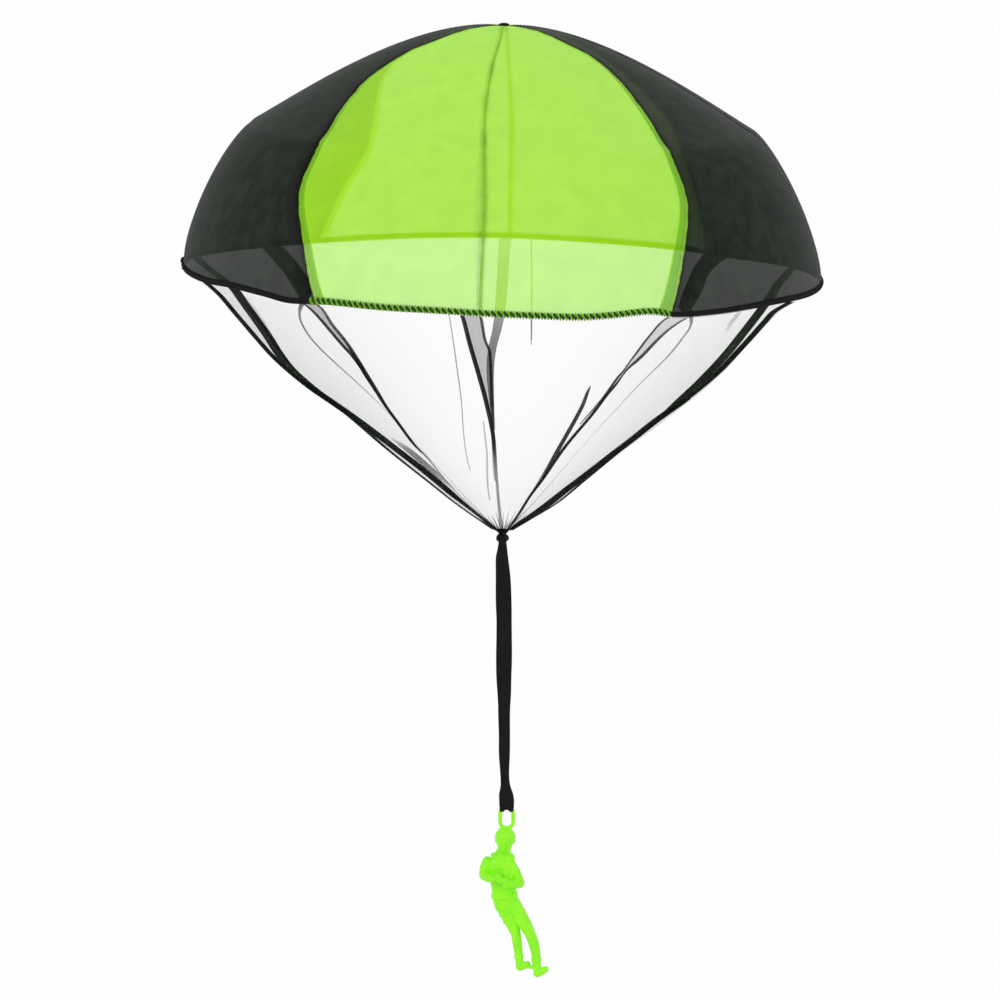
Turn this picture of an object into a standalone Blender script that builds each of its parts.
# Toy parachute: eight-gore cloth canopy, net funnel, ribbon strap and a moulded figure
import math

import bpy
import bmesh
from mathutils import Matrix, Vector

for old in list(bpy.data.objects):
    bpy.data.objects.remove(old, do_unlink=True)

# Canopy cloth, in metres. The origin is the crown, and the rim lies below it, towards -Y.
rim_radius = 0.1665
canopy_depth = 0.1270
crown_lean = 0.0215
rim_drop = 0.0042
cloth_thickness = 0.0003
seam_gap = 0.0003
seam_allowance = 0.0032
crown_allowance = 0.0009
allowance_run_share = 0.167
gore_fullness = 0.0058
gore_fullness_power = 1.3
crown_hole_radius = 0.0022
gore_count = 8
crown_handle_shares = (0.266, -0.043)
shoulder_radius_share = 0.786
shoulder_drop_share = 0.419
flank_handle_shares = (0.636, 0.302)
skirt_handle_shares = (0.849, 0.486)
rim_handle_shares = (0.992, 0.801)
seam_fall_shares = (0.0, 0.1, 0.2, 0.3, 0.42, 0.6, 0.8, 1.0)
seam_turns_deg = (
    (0.0, -2.7, -3.2, -3.0, -2.1, -1.5, -1.6, -1.8),
    (48.0, 53.0, 48.5, 44.5, 41.2, 40.2, 35.8, 31.8),
    (90.0, 90.0, 90.0, 90.0, 90.0, 90.0, 90.0, 90.0),
    (135.0, 134.0, 135.0, 137.0, 139.0, 140.0, 140.0, 140.0),
    (180.0, 180.0, 180.0, 180.0, 180.0, 180.2, 180.4, 180.5),
    (228.0, 228.0, 226.5, 221.0, 214.5, 212.5, 216.0, 219.5),
    (270.0, 270.0, 270.0, 270.0, 270.0, 270.0, 270.0, 270.0),
    (312.0, 304.5, 307.0, 312.5, 317.6, 318.7, 324.0, 328.2))
gore_names = ("front_right", "side_right_front", "side_right_back", "back_right",
              "back_left", "side_left_back", "side_left_front", "front_left")
green_gores = ("front_right", "back_right", "back_left", "front_left")
gore_spans = 7
meridian_spans = 11

# Rim hem: the overlocked edge that joins canopy and net
hem_height = 0.0034
hem_width = 0.0022
hem_sides = 8
hem_spans = 80

# Crown tack: the thread knot that holds the eight gore tips
tack_radius = 0.0030
tack_rise = 0.0013
tack_flange = 0.0007
tack_sides = 16
tack_dome_shares = ((0.45, 1.0), (0.8, 0.75), (1.0, 0.3), (0.95, 0.0))
tack_foot_shares = ((0.9, 0.0), (0.9, 1.0), (0.5, 1.6))

# Net funnel from the hem down to the knot
funnel_depth = 0.1418
net_end_radius = 0.0050
net_fullness = 0.0075
net_fullness_power = 1.15
net_allowance = 0.0040
net_end_allowance = 0.0006
net_allowance_run_share = 0.1
net_allowance_taper_share = 0.95
pleat_depth = 0.0060
pleat_reach = 0.0085
side_pleat_depth = 0.0100
side_pleat_reach = 0.0280
side_pleats = (2, 6)
pleat_end_reach = 0.0012
pleat_run_share = 0.42
pleat_onset_power = 0.6
net_gather_deg = (-1.9, 31.8, 90.0, 135.0, 181.0, 225.0, 270.0, 328.2)
net_spans = 9
net_row_power = 1.25
net_across_shares = (0.0, 0.035, 0.08, 0.16, 0.33, 0.5, 0.67, 0.84, 0.92, 0.965, 1.0)

# Gathered net end and the knot below it
knot_radius = 0.0033
knot_wrap_radius = 0.0011
knot_wrap_flat_share = 0.9
knot_core_sink_share = 0.7
knot_core_steps = 8
knot_core_sides = 14
knot_turn_steps = 20
knot_turn_sides = 8
knot_turns_deg = ((18.0, 0.0), (72.0, 40.0), (75.0, 130.0))
joint_gap = 0.0003
gather_flutes = 8
gather_flute_depth = 0.0005
gather_foot_radius = 0.0022
gather_shares = ((0.5, 1.0), (1.0, 1.0), (0.75, 0.5))
gather_sides_per_flute = 4
net_gather_height = 0.0018

# Ribbon strap, doubled, from the knot to the hitch on the figure's ring
strap_length = 0.1382
strap_width = 0.0077
strap_neck_width = 0.0042
strap_tail_width = 0.0064
strap_thickness = 0.0010
strap_end_length = 0.0120
strap_lean = 0.0022
strap_neck_share = 0.26
strap_tail_share = 0.4
strap_sway_share = 0.02
strap_spans = 24
strap_end_spans = 5
bend_turns_deg = (0.0, 30.0, 60.0, 80.0)
ribbon_section_shares = (
    (1.0, 0.0), (0.86, 0.8), (0.45, 1.0), (0.0, 0.8), (-0.45, 1.0), (-0.86, 0.8),
    (-1.0, 0.0), (-0.86, -0.8), (-0.45, -1.0), (0.0, -0.8), (0.45, -1.0), (0.86, -0.8))

# Hitch: the ribbon's turn round the top of the ring
hitch_drop = 0.0034
hitch_width = 0.0084
hitch_ply = 0.0005
hitch_half_deg = 56.0
hitch_sides = 12
hitch_sink_share = 0.3
hitch_taper_share = 0.35
hitch_neck_shares = (0.0, 0.5, 1.0)

# Figure: ring, helmet, body and limbs in one moulding
figure_height = 0.0828
ring_half_width = 0.0035
ring_height = 0.0116
ring_wire_radius = 0.00105
ring_steps = 12
ring_sides = 10
helmet_clearance = 0.0005
limb_sides = 10
limb_end_turns_deg = (24.0, 50.0, 78.0)
round_end_share = 1.0
helmet_end_share = 0.45
cloth_end_share = 0.4
belt_end_share = 0.12

# Figure outlines as shares of its height: right, back, down, half width, half depth
helmet_shares = (
    (-0.010, 0.012, 0.020, 0.0425, 0.045), (-0.010, 0.012, 0.040, 0.059, 0.062),
    (-0.010, 0.012, 0.060, 0.0655, 0.068), (-0.010, 0.012, 0.080, 0.0675, 0.070),
    (-0.010, 0.013, 0.098, 0.063, 0.066))
face_shares = (
    (-0.010, -0.008, 0.085, 0.050, 0.052), (-0.011, -0.010, 0.115, 0.049, 0.051),
    (-0.013, -0.010, 0.140, 0.041, 0.042))
neck_shares = (
    (-0.014, 0.012, 0.120, 0.040, 0.038), (-0.024, 0.012, 0.200, 0.046, 0.044))
torso_shares = (
    (-0.052, 0.016, 0.215, 0.070, 0.050), (-0.046, 0.016, 0.245, 0.090, 0.062),
    (-0.032, 0.012, 0.320, 0.086, 0.068), (-0.018, 0.010, 0.400, 0.080, 0.062),
    (-0.014, 0.010, 0.460, 0.080, 0.060), (0.008, 0.012, 0.530, 0.082, 0.061))
collar_shares = ((-0.066, 0.016, 0.205, 0.036, 0.046), (0.018, 0.016, 0.210, 0.036, 0.046))
belt_shares = ((-0.016, 0.010, 0.440, 0.087, 0.067), (-0.013, 0.010, 0.466, 0.088, 0.067))
left_upper_arm_shares = (
    (-0.124, 0.010, 0.232, 0.034, 0.034), (-0.138, 0.006, 0.275, 0.035, 0.036),
    (-0.148, 0.000, 0.318, 0.031, 0.032))
left_forearm_shares = (
    (-0.146, -0.004, 0.322, 0.031, 0.031), (-0.106, -0.054, 0.326, 0.029, 0.029),
    (-0.058, -0.086, 0.318, 0.022, 0.022))
left_fist_shares = ((-0.052, -0.090, 0.300, 0.024, 0.024), (-0.042, -0.092, 0.330, 0.024, 0.024))
right_upper_arm_shares = (
    (0.018, 0.010, 0.232, 0.034, 0.034), (0.052, 0.006, 0.300, 0.035, 0.036),
    (0.086, 0.000, 0.368, 0.031, 0.032))
right_forearm_shares = (
    (0.086, -0.004, 0.372, 0.031, 0.031), (0.046, -0.056, 0.366, 0.029, 0.029),
    (0.000, -0.086, 0.352, 0.022, 0.022))
right_fist_shares = ((-0.010, -0.090, 0.332, 0.024, 0.024), (-0.002, -0.092, 0.362, 0.024, 0.024))
left_leg_shares = (
    (-0.024, 0.012, 0.510, 0.055, 0.056), (0.008, -0.002, 0.580, 0.050, 0.052),
    (0.040, -0.016, 0.650, 0.040, 0.043), (0.060, -0.022, 0.704, 0.033, 0.037),
    (0.069, -0.004, 0.770, 0.031, 0.037), (0.077, 0.010, 0.840, 0.028, 0.031),
    (0.084, 0.016, 0.915, 0.026, 0.028))
left_boot_shares = (
    (0.086, 0.018, 0.934, 0.028, 0.027), (0.116, 0.010, 0.922, 0.024, 0.025),
    (0.136, 0.006, 0.912, 0.019, 0.023))
right_leg_shares = (
    (0.034, 0.012, 0.510, 0.055, 0.056), (0.080, -0.014, 0.580, 0.050, 0.052),
    (0.126, -0.036, 0.646, 0.042, 0.045), (0.154, -0.044, 0.698, 0.035, 0.039),
    (0.178, -0.032, 0.770, 0.034, 0.039), (0.191, -0.020, 0.840, 0.030, 0.033),
    (0.197, -0.014, 0.935, 0.028, 0.029))
right_boot_shares = (
    (0.200, -0.012, 0.966, 0.029, 0.028), (0.232, -0.022, 0.950, 0.025, 0.026),
    (0.256, -0.028, 0.936, 0.019, 0.023))
foot_web_shares = ((0.104, 0.004, 0.928, 0.012, 0.012), (0.189, -0.010, 0.930, 0.012, 0.012))
figure_outlines = (
    ("helmet", helmet_shares, helmet_end_share), ("face", face_shares, round_end_share),
    ("neck", neck_shares, cloth_end_share), ("torso", torso_shares, cloth_end_share),
    ("collar", collar_shares, round_end_share), ("belt", belt_shares, belt_end_share),
    ("left_upper_arm", left_upper_arm_shares, round_end_share),
    ("left_forearm", left_forearm_shares, round_end_share),
    ("left_fist", left_fist_shares, round_end_share),
    ("right_upper_arm", right_upper_arm_shares, round_end_share),
    ("right_forearm", right_forearm_shares, round_end_share),
    ("right_fist", right_fist_shares, round_end_share),
    ("left_leg", left_leg_shares, round_end_share),
    ("left_boot", left_boot_shares, round_end_share),
    ("right_leg", right_leg_shares, round_end_share),
    ("right_boot", right_boot_shares, round_end_share),
    ("foot_web", foot_web_shares, round_end_share))

# Shading and search steps
sharp_edge_deg = 40.0
direction_step_share = 0.004
crown_search_steps = 40
upright_limit_share = 0.2
canopy_outward_rise = 0.6
net_outward_rise = -0.8

# Derived places
rim_level = -canopy_depth
axis_y = -crown_lean
knot_level = rim_level - funnel_depth
knot_centre = Vector((0.0, axis_y, knot_level))
gather_foot = knot_level + knot_radius + joint_gap
strap_top = knot_level - knot_radius - joint_gap
bend_level = strap_top - strap_length
bend_centre = Vector((strap_lean, axis_y, bend_level))
twist_centre = Vector((strap_lean, axis_y, bend_level + strap_end_length))
ring_top = bend_level - hitch_drop
head_top = ring_top - ring_height + ring_wire_radius - helmet_clearance
cloth_end_drop = canopy_depth - hem_height / 2 - seam_gap - cloth_thickness / 2
net_start_level = rim_level - hem_height / 2 - seam_gap - cloth_thickness / 2
depth_axis = Vector((0.0, 1.0, 0.0))
right_axis = Vector((1.0, 0.0, 0.0))
up_axis = Vector((0.0, 0.0, 1.0))


def linear(channel):
    """Turn one 0-255 display value into a linear one."""
    value = channel / 255.0
    if value <= 0.04045:
        return value / 12.92
    return ((value + 0.055) / 1.055) ** 2.4


def material(name, rgb, roughness, alpha=1.0):
    made = bpy.data.materials.new(name)
    made.use_nodes = True
    shader = made.node_tree.nodes["Principled BSDF"]
    colour = tuple(linear(channel) for channel in rgb) + (1.0,)
    shader.inputs["Base Color"].default_value = colour
    shader.inputs["Roughness"].default_value = roughness
    shader.inputs["Metallic"].default_value = 0.0
    shader.inputs["Alpha"].default_value = alpha
    made.diffuse_color = colour
    return made


def solid(name, points, faces, finish, pivot=None):
    """Make one closed object; a pivot empty, where given, becomes its parent."""
    mesh = bpy.data.meshes.new(name)
    mesh.from_pydata([tuple(point) for point in points], [], faces)
    work = bmesh.new()
    work.from_mesh(mesh)
    bmesh.ops.recalc_face_normals(work, faces=work.faces)
    if work.calc_volume(signed=True) < 0.0:
        bmesh.ops.reverse_faces(work, faces=work.faces)
    work.to_mesh(mesh)
    work.free()
    mesh.shade_smooth()
    mesh.set_sharp_from_angle(angle=math.radians(sharp_edge_deg))
    mesh.materials.append(finish)
    made = bpy.data.objects.new(name, mesh)
    bpy.context.scene.collection.objects.link(made)
    if pivot is not None:
        mesh.transform(Matrix.Translation(-pivot.location))
        made.parent = pivot
    return made


def pivot_at(name, place):
    made = bpy.data.objects.new(name, None)
    made.location = place
    bpy.context.scene.collection.objects.link(made)
    return made


def split_quad(points, quad):
    """Two triangles of a quad, cut along its shorter diagonal."""
    first, beside, opposite, below = quad
    falling = (points[first] - points[opposite]).length
    rising = (points[beside] - points[below]).length
    if falling <= rising:
        return (first, beside, opposite), (first, opposite, below)
    return (first, beside, below), (beside, opposite, below)


def closed_shell(outer, inner, looped=False):
    """Join two equal grids of points into one closed sheet; looped ones close on themselves."""
    rows = len(outer)
    columns = len(outer[0])
    points = [point for row in outer for point in row]
    points += [point for row in inner for point in row]
    back = rows * columns
    faces = []
    for row in range(rows - 1):
        for column in range(columns if looped else columns - 1):
            first = row * columns + column
            beside = row * columns + (column + 1) % columns
            for corners in split_quad(points, (first, beside, beside + columns, first + columns)):
                faces.append(corners)
                faces.append(tuple(back + corner for corner in reversed(corners)))
    for column in range(columns if looped else columns - 1):
        for row in (0, rows - 1):
            first = row * columns + column
            beside = row * columns + (column + 1) % columns
            faces.append((first, beside, back + beside, back + first))
    if looped:
        return points, faces
    for row in range(rows - 1):
        for column in (0, columns - 1):
            first = row * columns + column
            faces.append((first, first + columns, back + first + columns, back + first))
    return points, faces


def lofted(rings, looped=False):
    """Skin a list of equal rings of points; open lofts get fan caps."""
    count = len(rings[0])
    points = [point for ring in rings for point in ring]
    faces = []
    last = len(rings) if looped else len(rings) - 1
    for ring in range(last):
        base = ring * count
        ahead = ((ring + 1) % len(rings)) * count
        for side in range(count):
            beside = (side + 1) % count
            faces.append((base + side, base + beside, ahead + beside, ahead + side))
    if looped:
        return points, faces
    for base in (0, (len(rings) - 1) * count):
        points.append(sum((points[base + side] for side in range(count)), Vector()) / count)
        tip = len(points) - 1
        for side in range(count):
            faces.append((base + side, base + (side + 1) % count, tip))
    return points, faces


def bezier(first, lead, follow, last, share):
    rest = 1.0 - share
    return (first * rest ** 3 + 3.0 * lead * rest ** 2 * share
            + 3.0 * follow * rest * share ** 2 + last * share ** 3)


def meridian(share, depth):
    """Radius and drop of the dome, from crown at 0 to rim at 1."""
    if share <= 0.5:
        local = share * 2.0
        radius = bezier(0.0, crown_handle_shares[0], flank_handle_shares[0],
                        shoulder_radius_share, local)
        drop = bezier(0.0, crown_handle_shares[1], flank_handle_shares[1],
                      shoulder_drop_share, local)
    else:
        local = share * 2.0 - 1.0
        radius = bezier(shoulder_radius_share, skirt_handle_shares[0], rim_handle_shares[0],
                        1.0, local)
        drop = bezier(shoulder_drop_share, skirt_handle_shares[1], rim_handle_shares[1],
                      1.0, local)
    return radius * rim_radius, drop * depth


def smooth_through(places, values, place):
    """Value at a place on a smooth curve through a table of places and values."""
    last = len(places) - 1
    left = 0
    while left < last - 1 and place > places[left + 1]:
        left += 1
    slopes = []
    for point in (left, left + 1):
        before = max(0, point - 1)
        after = min(last, point + 1)
        slopes.append((values[after] - values[before]) / (places[after] - places[before]))
    span = places[left + 1] - places[left]
    local = min(1.0, max(0.0, (place - places[left]) / span))
    lead = values[left] + slopes[0] * span / 3.0
    follow = values[left + 1] - slopes[1] * span / 3.0
    return bezier(values[left], lead, follow, values[left + 1], local)


def seam_angle(seam, fall):
    """Turn of a seam about the axis; fall is 0 at the crown and 1 at the rim."""
    turns_deg = seam_turns_deg[seam % gore_count]
    turn_deg = smooth_through(seam_fall_shares, turns_deg, fall)
    return math.radians(turn_deg + 360.0 * (seam // gore_count))


def gather_angle(panel):
    return math.radians(net_gather_deg[panel % gore_count] + 360.0 * (panel // gore_count))


def around(angle):
    """Unit direction from the axis, 0 towards the front, turning to the right."""
    return Vector((math.sin(angle), -math.cos(angle), 0.0))


def axis_y_at(level):
    """Depth of the toy's axis at a level; it leans back from the rim up to the crown."""
    return axis_y * min(1.0, max(0.0, -level / canopy_depth))


def tilt_drop(x, radius_share=1.0):
    """Drop of the right side and rise of the left, as the whole canopy tilts."""
    return -rim_drop * radius_share * x / rim_radius


def dome_point(gore, across, share):
    """A point of the outer cloth: across runs from seam to seam, share from crown to rim."""
    radius, drop = meridian(share, cloth_end_drop)
    fall = max(0.0, drop / canopy_depth)
    left = seam_angle(gore, fall)
    angle = left + (seam_angle(gore + 1, fall) - left) * across
    swell = math.sin(math.pi * across) * math.sin(math.pi * share ** gore_fullness_power)
    place = around(angle) * (radius + gore_fullness * swell)
    place.y += axis_y * fall
    place.z = -drop + tilt_drop(place.x)
    return place


def net_profile(share):
    """Radius and level of the net funnel, from hem at 0 to the gathered end at 1."""
    radius = rim_radius + (net_end_radius - rim_radius) * share
    radius += net_fullness * math.sin(math.pi * share ** net_fullness_power)
    return radius, net_start_level + (gather_foot + net_gather_height - net_start_level) * share


def pleat_groove(gather, aside, share):
    """How far a pleat draws the net in, at a distance aside from its gather."""
    at_side = gather % gore_count in side_pleats
    depth = side_pleat_depth if at_side else pleat_depth
    reach = side_pleat_reach if at_side else pleat_reach
    run = min(1.0, share / pleat_run_share)
    reach += (pleat_end_reach - reach) * run
    return depth * math.sin(math.pi * run ** pleat_onset_power) * math.exp(-(aside / reach) ** 2)


def net_point(panel, across, share):
    """A point of the outer net, drawn into a pleat along each of its gathers."""
    radius, level = net_profile(share)
    left = gather_angle(panel)
    right = gather_angle(panel + 1)
    arc = (right - left) * radius
    radius -= pleat_groove(panel, across * arc, share)
    radius -= pleat_groove(panel + 1, (1.0 - across) * arc, share)
    place = around(left + (right - left) * across) * radius
    place.y += axis_y
    place.z = level + tilt_drop(place.x, radius / rim_radius)
    return place


def surface_normal(point_at, panel, across, share, outward_rise):
    """Outward normal of a sheet by small differences of its own point function."""
    step = direction_step_share
    sideways = (point_at(panel, min(1.0, across + step), share)
                - point_at(panel, max(0.0, across - step), share))
    along = (point_at(panel, across, min(1.0, share + step))
             - point_at(panel, across, max(0.0, share - step)))
    normal = along.cross(sideways).normalized()
    outward = around(seam_angle(panel, 1.0) * (1.0 - across) + seam_angle(panel + 1, 1.0) * across)
    outward.z = outward_rise
    if normal.dot(outward) < 0.0:
        normal.negate()
    return normal


def turned_edge(point_at, panel, across, share, normal, allowance):
    """Outer and inner corners of a panel's edge, turned inward beside the seam's plane."""
    step = direction_step_share
    place = point_at(panel, across, share)
    low = point_at(panel, across, max(0.0, share - step))
    high = point_at(panel, across, min(1.0, share + step))
    along = (high - low).normalized()
    radial = Vector((place.x, place.y - axis_y_at(place.z), 0.0))
    sideways = Vector((-radial.y, radial.x, 0.0)).normalized()
    sideways = (sideways - along * sideways.dot(along)).normalized()
    inward = along.cross(sideways).normalized()
    if inward.dot(normal) > 0.0:
        inward.negate()
    if sideways.dot(point_at(panel, 0.5, share) - place) < 0.0:
        sideways.negate()
    corner = place + sideways * (seam_gap / 2)
    tail = corner + inward * allowance
    fold = corner + (sideways + inward) * cloth_thickness
    return (corner, tail), (fold, tail + sideways * cloth_thickness)


def sheet_rows(point_at, panel, across_shares, row_shares, allowance_at, outward_rise):
    """Outer and inner grids of one sewn panel with both edges turned in."""
    outer = []
    inner = []
    for share in row_shares:
        row_out = []
        row_in = []
        for across in across_shares:
            normal = surface_normal(point_at, panel, across, share, outward_rise)
            if across in (0.0, 1.0):
                outside, inside = turned_edge(point_at, panel, across, share, normal,
                                              allowance_at(share))
                order = -1 if across == 0.0 else 1
                row_out += outside[::order]
                row_in += inside[::order]
            else:
                place = point_at(panel, across, share)
                row_out.append(place)
                row_in.append(place - normal * cloth_thickness)
        outer.append(row_out)
        inner.append(row_in)
    return outer, inner


def crown_share():
    """Meridian share at which the dome reaches the crown hole's radius."""
    low = 0.0
    high = 0.5
    for _ in range(crown_search_steps):
        middle = (low + high) / 2
        if meridian(middle, cloth_end_drop)[0] < crown_hole_radius:
            low = middle
        else:
            high = middle
    return high


def gore_allowance_at(share):
    grown = min(1.0, share / allowance_run_share)
    return crown_allowance + (seam_allowance - crown_allowance) * grown


def make_gores(green, black):
    start = crown_share()
    shares = [start + (1.0 - start) * row / meridian_spans for row in range(meridian_spans + 1)]
    across = [column / gore_spans for column in range(gore_spans + 1)]
    for gore, name in enumerate(gore_names):
        outer, inner = sheet_rows(dome_point, gore, across, shares, gore_allowance_at,
                                  canopy_outward_rise)
        points, faces = closed_shell(outer, inner)
        solid("gore_" + name, points, faces, green if name in green_gores else black)


def net_allowance_at(share):
    grown = min(1.0, share / net_allowance_run_share)
    fade = min(1.0, share / net_allowance_taper_share)
    width = net_allowance + (net_end_allowance - net_allowance) * fade
    return net_end_allowance + (width - net_end_allowance) * grown


def make_net(finish):
    shares = [(row / net_spans) ** net_row_power for row in range(net_spans + 1)]
    for panel, name in enumerate(gore_names):
        outer, inner = sheet_rows(net_point, panel, net_across_shares, shares, net_allowance_at,
                                  net_outward_rise)
        points, faces = closed_shell(outer, inner)
        solid("net_" + name, points, faces, finish)


def make_hem(finish):
    rings = []
    for step in range(hem_spans):
        out = around(math.tau * step / hem_spans)
        centre = out * rim_radius
        centre.y += axis_y
        centre.z = rim_level + tilt_drop(centre.x)
        ring = []
        for side in range(hem_sides):
            turn = math.tau * side / hem_sides
            ring.append(centre + out * (hem_width / 2 * math.cos(turn))
                        + up_axis * (hem_height / 2 * math.sin(turn)))
        rings.append(ring)
    points, faces = lofted(rings, looped=True)
    solid("rim_hem", points, faces, finish)


def level_ring(radius, level, centre, sides, flutes=0, depth=0.0):
    ring = []
    for side in range(sides):
        angle = math.tau * side / sides
        reach = radius - depth * (1.0 - math.cos(flutes * angle)) / 2
        ring.append(Vector((centre.x, centre.y, level)) + around(angle) * reach)
    return ring


def make_tack(finish):
    """A domed head over the cloth, a stem through the hole and a small foot under it."""
    stem = crown_hole_radius - seam_gap * 1.5
    under = cloth_thickness + crown_allowance + seam_gap
    stations = [(tack_radius * wide, tack_rise * high + seam_gap) for wide, high in tack_dome_shares]
    stations += [(stem, seam_gap), (stem, -under)]
    stations += [(tack_radius * wide, -under - tack_flange * low) for wide, low in tack_foot_shares]
    rings = [level_ring(radius, level, Vector(), tack_sides) for radius, level in stations]
    points, faces = lofted(rings)
    solid("crown_tack", points, faces, finish)


def make_gather(finish):
    """The bunched end of the net, fluted by its folds, just above the knot."""
    rise = net_gather_height - seam_gap
    stations = [(net_end_radius * wide, gather_foot + rise * high) for wide, high in gather_shares]
    stations.append((gather_foot_radius, gather_foot))
    rings = [level_ring(radius, level, knot_centre, gather_flutes * gather_sides_per_flute,
                        gather_flutes, gather_flute_depth) for radius, level in stations]
    points, faces = lofted(rings)
    solid("net_gather", points, faces, finish)


def slab_ring(centre, half_width, half_depth):
    """A flat ribbon's section with rounded edges, level and centred on a point."""
    return [centre + right_axis * (half_width * wide) + depth_axis * (half_depth * deep)
            for wide, deep in ribbon_section_shares]


def smooth_step(share):
    return share * share * (3.0 - 2.0 * share)


def strap_place(share):
    """Centre of the ribbon, from the knot at 0 to the hitch's bend at 1."""
    sway = strap_width * strap_sway_share * math.sin(math.pi * share)
    return Vector((strap_lean * share + sway, axis_y, strap_top - strap_length * share))


def strap_half_width(share):
    grown = smooth_step(min(1.0, share / strap_neck_share))
    tail = smooth_step(max(0.0, 1.0 - (1.0 - share) / strap_tail_share))
    width = strap_neck_width + (strap_width - strap_neck_width) * grown
    return (width + (strap_tail_width - strap_width) * tail) / 2


def make_strap(finish, pivot):
    finish_share = 1.0 - (strap_end_length + joint_gap) / strap_length
    rings = []
    for span in range(strap_spans + 1):
        share = finish_share * span / strap_spans
        rings.append(slab_ring(strap_place(share), strap_half_width(share), strap_thickness / 2))
    points, faces = lofted(rings)
    solid("strap_ribbon", points, faces, finish, pivot)


def make_strap_end(finish, pivot):
    """Lower stretch of the ribbon; its round foot lies on the axis where it bends."""
    rings = []
    for step in range(strap_end_spans):
        share = 1.0 - strap_end_length / strap_length * (1.0 - step / strap_end_spans)
        half = strap_half_width(share)
        half += (hitch_width / 2 - half) * (step / (strap_end_spans - 1)) ** 2
        rings.append(slab_ring(strap_place(share), half, strap_thickness / 2))
    for turn_deg in bend_turns_deg:
        turn = math.radians(turn_deg)
        place = bend_centre - up_axis * (strap_thickness / 2 * math.sin(turn))
        rings.append(slab_ring(place, hitch_width / 2, strap_thickness / 2 * math.cos(turn)))
    points, faces = lofted(rings)
    solid("strap_end", points, faces, finish, pivot)


def guide(name, points, faces, pivot):
    """A body that is only merged into another one."""
    made = solid(name, points, faces, guide_finish, pivot)
    made.hide_render = True
    made.display_type = "WIRE"
    return made


def merge(base, others):
    for other in others:
        joined = base.modifiers.new("merge_" + other.name, "BOOLEAN")
        joined.operation = "UNION"
        joined.solver = "EXACT"
        joined.object = other


def bend_stations(level, start_deg, finish_deg):
    """Points and directions along a bend of the ring's wire, 0 at the top."""
    stations = []
    for step in range(ring_steps + 1):
        turn = math.radians(start_deg + (finish_deg - start_deg) * step / ring_steps)
        out = Vector((math.sin(turn), 0.0, math.cos(turn)))
        middle = Vector((strap_lean, axis_y, level))
        stations.append((middle + out * ring_half_width, Vector((out.z, 0.0, -out.x))))
    return stations


def wire_rings(stations, radius, sides):
    """Round sections along a path that lies in the ring's upright plane."""
    rings = []
    for place, along in stations:
        beside = along.cross(depth_axis).normalized()
        ring = []
        for side in range(sides):
            turn = math.tau * side / sides
            ring.append(place + (beside * math.cos(turn) + depth_axis * math.sin(turn)) * radius)
        rings.append(ring)
    return rings


def make_hitch(finish, pivot):
    """The ribbon's turn: a sleeve round the ring's crest with a short neck above it."""
    bore = ring_wire_radius + joint_gap
    crest = bend_stations(ring_top - ring_half_width, -hitch_half_deg, hitch_half_deg)
    points, faces = closed_shell(wire_rings(crest, bore + hitch_ply, hitch_sides),
                                 wire_rings(crest, bore, hitch_sides), looped=True)
    sleeve = solid("ring_hitch", points, faces, finish, pivot)
    top = bend_level - strap_thickness / 2 - joint_gap
    foot = ring_top + bore + hitch_ply * hitch_sink_share
    rings = []
    for share in hitch_neck_shares:
        place = Vector((strap_lean, axis_y, top + (foot - top) * share))
        half = hitch_width / 2 * (1.0 - hitch_taper_share * share)
        rings.append(slab_ring(place, half, strap_thickness / 2))
    points, faces = lofted(rings)
    merge(sleeve, [guide("hitch_neck", points, faces, pivot)])


def make_knot(finish, pivot):
    """A tight round knot: a core with three turns of ribbon over it."""
    rings = []
    core = knot_radius - knot_wrap_radius * knot_core_sink_share
    for step in range(1, knot_core_steps):
        turn = math.pi * step / knot_core_steps
        rings.append(level_ring(core * math.sin(turn), knot_level + core * math.cos(turn),
                                knot_centre, knot_core_sides))
    points, faces = lofted(rings)
    knot = solid("knot", points, faces, finish, pivot)
    turns = []
    for number, (lean_deg, swing_deg) in enumerate(knot_turns_deg):
        tilt = Matrix.Rotation(math.radians(swing_deg), 3, "Z") @ Matrix.Rotation(
            math.radians(lean_deg), 3, "X")
        wraps = []
        for step in range(knot_turn_steps):
            out = around(math.tau * step / knot_turn_steps)
            ring = []
            for side in range(knot_turn_sides):
                turn = math.tau * side / knot_turn_sides
                reach = knot_radius - knot_wrap_radius + knot_wrap_radius * math.cos(turn)
                rise = knot_wrap_radius * knot_wrap_flat_share * math.sin(turn)
                ring.append(knot_centre + tilt @ (out * reach + up_axis * rise))
            wraps.append(ring)
        points, faces = lofted(wraps, looped=True)
        turns.append(guide("knot_turn_%d" % (number + 1), points, faces, pivot))
    merge(knot, turns)


def limb_section(place, along, wide, deep):
    beside = along.cross(depth_axis)
    beside = beside.normalized() if beside.length > upright_limit_share else right_axis
    fore = beside.cross(along).normalized()
    ring = []
    for side in range(limb_sides):
        turn = math.tau * side / limb_sides
        ring.append(place + beside * (wide * math.cos(turn)) + fore * (deep * math.sin(turn)))
    return ring


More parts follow.
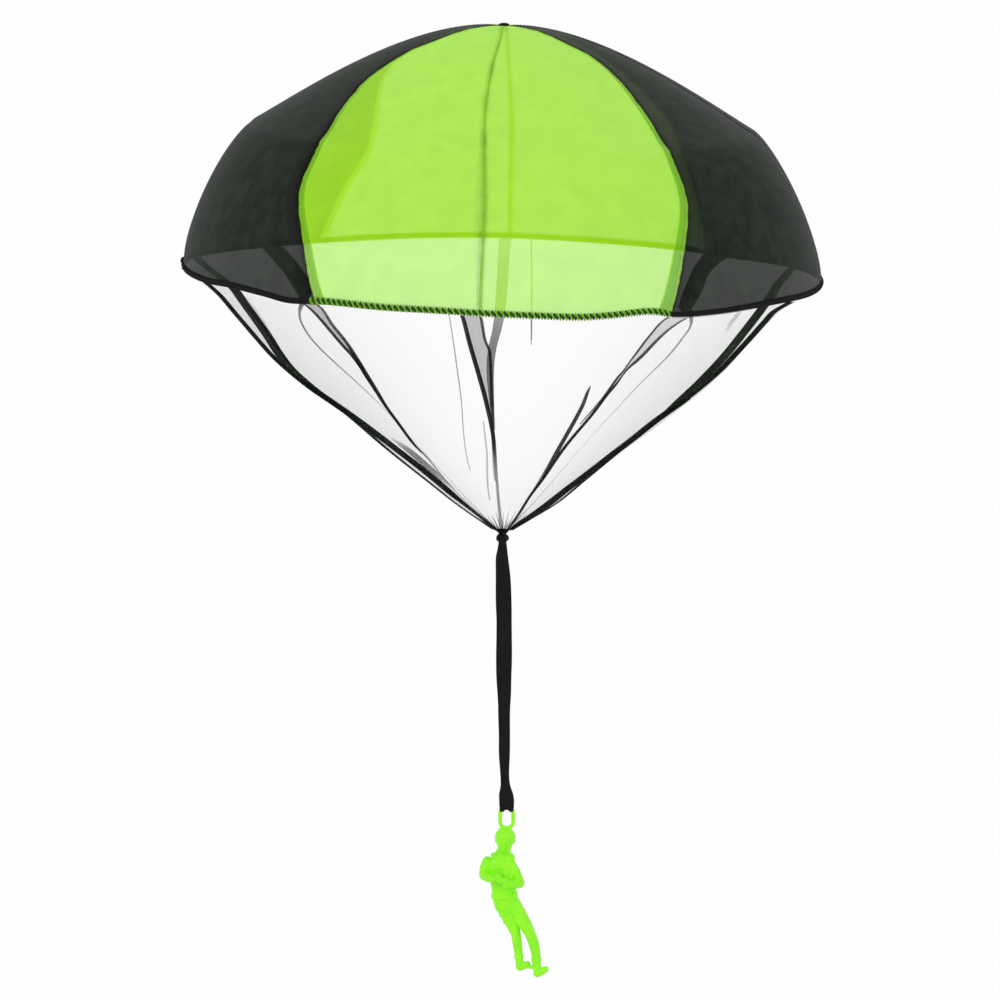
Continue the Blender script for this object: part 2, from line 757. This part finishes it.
def limb(name, rows, end_share, pivot):
    """A limb along its rows of shares; end_share says how round its two ends are."""
    places = [Vector((strap_lean, axis_y, head_top)) + Vector((x, y, -z)) * figure_height
              for x, y, z, wide, deep in rows]
    halves = [(wide * figure_height, deep * figure_height) for x, y, z, wide, deep in rows]
    rings = []
    for number, place in enumerate(places):
        ahead = places[min(len(places) - 1, number + 1)]
        along = (ahead - places[max(0, number - 1)]).normalized()
        wide, deep = halves[number]
        full = [limb_section(place, along, wide, deep)]
        first = number == 0
        if first or number == len(places) - 1:
            outward = -along if first else along
            ends = []
            for turn_deg in limb_end_turns_deg:
                turn = math.radians(turn_deg)
                shift = outward * (min(wide, deep) * end_share * math.sin(turn))
                ends.append(limb_section(place + shift, along, wide * math.cos(turn),
                                         deep * math.cos(turn)))
            full = ends[::-1] + full if first else full + ends
        rings += full
    points, faces = lofted(rings)
    return guide(name, points, faces, pivot)


def make_figure(finish, pivot):
    """The moulded jumper: a tall wire ring with helmet, body, limbs and boots merged on."""
    stations = bend_stations(ring_top - ring_half_width, -90.0, 90.0)
    stations += bend_stations(ring_top - ring_height + ring_half_width, 90.0, 270.0)
    points, faces = lofted(wire_rings(stations, ring_wire_radius, ring_sides), looped=True)
    figure = solid("figure", points, faces, finish, pivot)
    merge(figure, [limb(name, rows, ends, pivot) for name, rows, ends in figure_outlines])


cloth_green = material("sheer_green_cloth", (171, 241, 81), 0.55, 0.8)
cloth_black = material("sheer_black_cloth", (39, 45, 38), 0.6, 0.85)
net_mesh = material("dark_net", (60, 64, 60), 0.7, 0.25)
thread_dark = material("dark_thread", (23, 29, 25), 0.7)
ribbon_black = material("black_ribbon", (23, 29, 25), 0.65)
plastic_green = material("green_plastic", (136, 243, 46), 0.4)
guide_finish = material("guide", (128, 128, 128), 0.8)

knot_pivot = pivot_at("knot_pivot", knot_centre)
strap_pivot = pivot_at("strap_pivot", knot_centre)
twist_pivot = pivot_at("twist_pivot", twist_centre)
bend_pivot = pivot_at("bend_pivot", bend_centre)

make_gores(cloth_green, cloth_black)
make_tack(thread_dark)
make_hem(thread_dark)
make_net(net_mesh)
make_gather(thread_dark)
make_knot(ribbon_black, knot_pivot)
make_strap(ribbon_black, strap_pivot)
make_strap_end(ribbon_black, twist_pivot)
make_hitch(ribbon_black, bend_pivot)
make_figure(plastic_green, bend_pivot)
